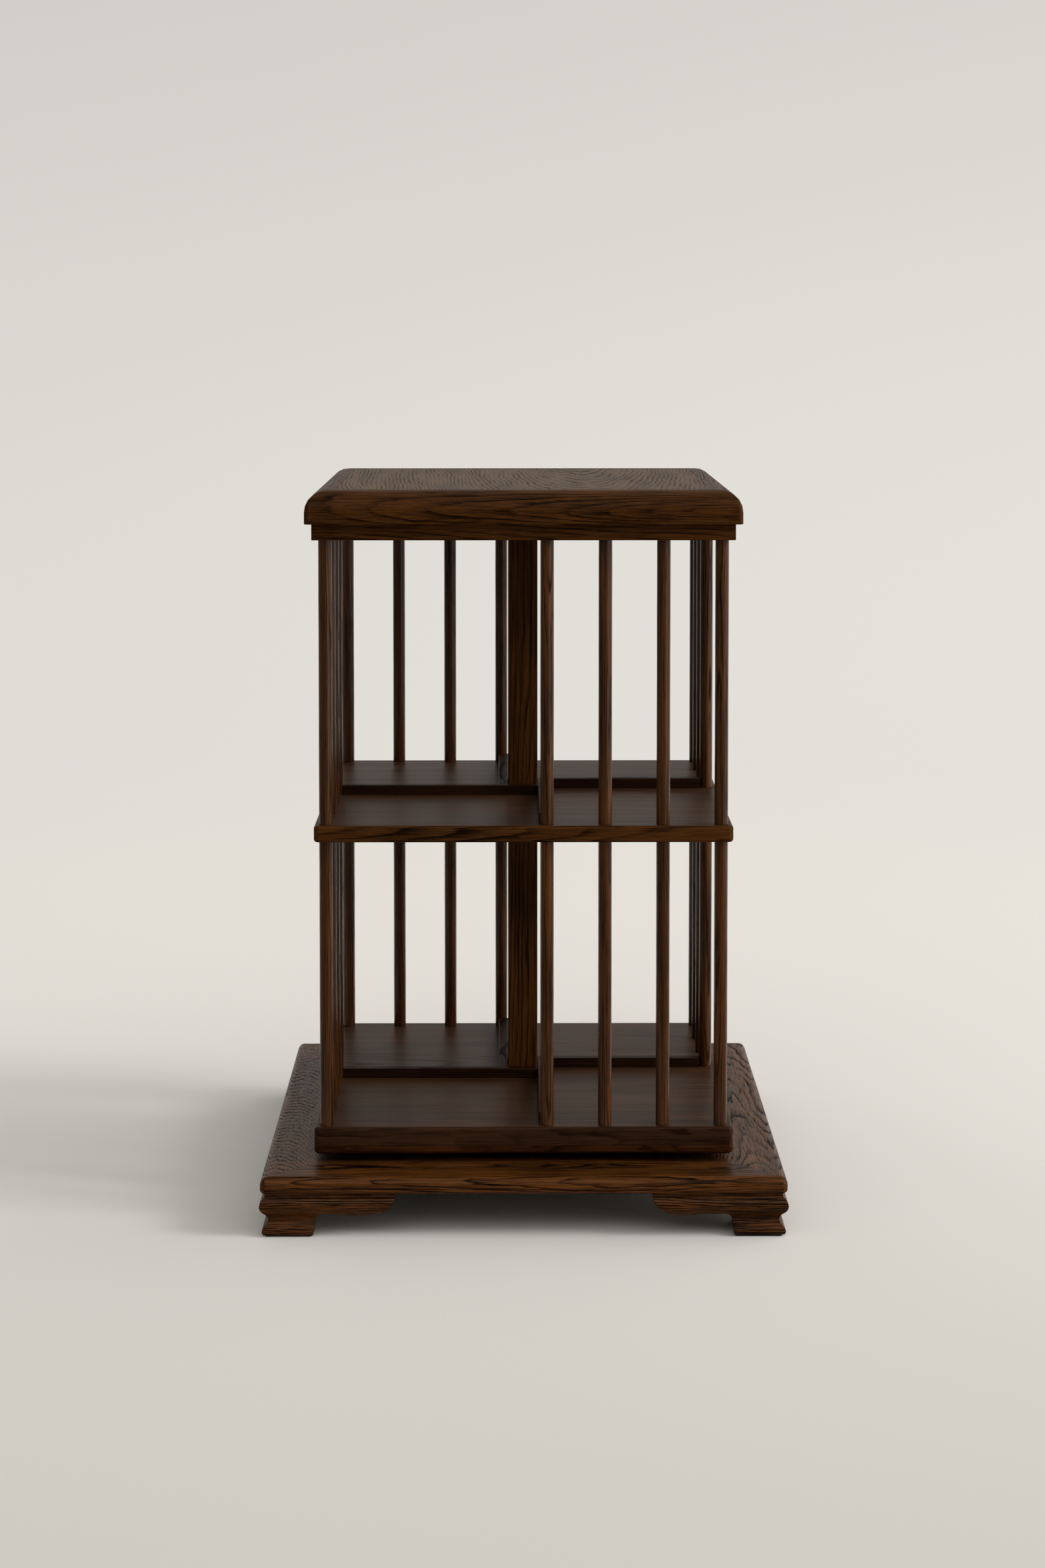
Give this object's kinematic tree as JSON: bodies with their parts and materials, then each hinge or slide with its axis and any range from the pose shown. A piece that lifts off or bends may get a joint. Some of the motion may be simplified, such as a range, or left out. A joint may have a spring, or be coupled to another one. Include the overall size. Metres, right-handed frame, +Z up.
{
  "type": "revolving bookcase",
  "caption": "Square two-tier revolving bookcase: spindled open bays in a pinwheel round a centre post, turning on a ball swivel over a base with bracket feet.",
  "frame": {"origin": "on the floor, on the axis that the case turns about", "axes": "+Z up along the turning axis, -Y towards the front of the base, +X to its right"},
  "size_m": [0.501, 0.501, 0.705],
  "materials": {
    "stained_wood": "open-grained hardwood, dark walnut stain, satin lacquer",
    "veneered_board": "veneered board, dark walnut stain, satin lacquer",
    "plain_wood": "sawn softwood, unfinished",
    "zinc_steel": "pressed sheet, zinc plated",
    "ball_steel": "hardened, polished",
    "cage_nylon": "natural nylon",
    "screw_steel": "zinc plated",
    "felt": "pressed felt, dark brown"
  },
  "bodies": {
    "base": {"back_bracket_left": "stained_wood", "back_bracket_right": "stained_wood", "base_panel": "veneered_board", "base_rail_back": "stained_wood", "base_rail_front": "stained_wood", "base_rail_left": "stained_wood", "base_rail_right": "stained_wood", "front_bracket_left": "stained_wood", "front_bracket_right": "stained_wood", "left_bracket_left": "stained_wood", "left_bracket_right": "stained_wood", "right_bracket_left": "stained_wood", "right_bracket_right": "stained_wood", "foot_pads": "felt", "foot_glue_blocks": "plain_wood", "swivel_lower_plate": "zinc_steel", "swivel_eyelet": "zinc_steel", "lower_plate_screws": "screw_steel"},
    "ball_ring": {"ball_cage": "cage_nylon", "swivel_balls": "ball_steel"},
    "carcass": {"bottom_lippings": "stained_wood", "bottom_shelf": "veneered_board", "bottom_skirt": "stained_wood", "centre_post": "stained_wood", "frieze_board": "stained_wood", "lower_batten_back": "stained_wood", "lower_batten_front": "stained_wood", "lower_batten_left": "stained_wood", "lower_batten_right": "stained_wood", "middle_lippings": "stained_wood", "middle_shelf": "veneered_board", "post_screws": "screw_steel", "spindle_back_centre": "stained_wood", "spindle_back_corner": "stained_wood", "spindle_back_inner": "stained_wood", "spindle_back_outer": "stained_wood", "spindle_front_centre": "stained_wood", "spindle_front_corner": "stained_wood", "spindle_front_inner": "stained_wood", "spindle_front_outer": "stained_wood", "spindle_left_centre": "stained_wood", "spindle_left_corner": "stained_wood", "spindle_left_inner": "stained_wood", "spindle_left_outer": "stained_wood", "spindle_right_centre": "stained_wood", "spindle_right_corner": "stained_wood", "spindle_right_inner": "stained_wood", "spindle_right_outer": "stained_wood", "swivel_packing": "plain_wood", "swivel_upper_plate": "zinc_steel", "top_moulding_back": "stained_wood", "top_moulding_front": "stained_wood", "top_moulding_left": "stained_wood", "top_moulding_right": "stained_wood", "top_panel": "veneered_board", "upper_batten_back": "stained_wood", "upper_batten_front": "stained_wood", "upper_batten_left": "stained_wood", "upper_batten_right": "stained_wood", "upper_plate_screws": "screw_steel"}
  },
  "joints": [
    {"name": "carcass_spin", "type": "hinge", "parent": "base", "child": "carcass", "pos_m": [0, 0, 0.0615], "axis": [0, 0, 1], "continuous": true},
    {"name": "ball_ring_spin", "type": "hinge", "parent": "base", "child": "ball_ring", "pos_m": [0, 0, 0.0615], "axis": [0, 0, 1], "continuous": true}
  ],
  "couplings": [
    {"joint": "ball_ring_spin", "follows": "carcass_spin", "ratio": 0.5}
  ]
}
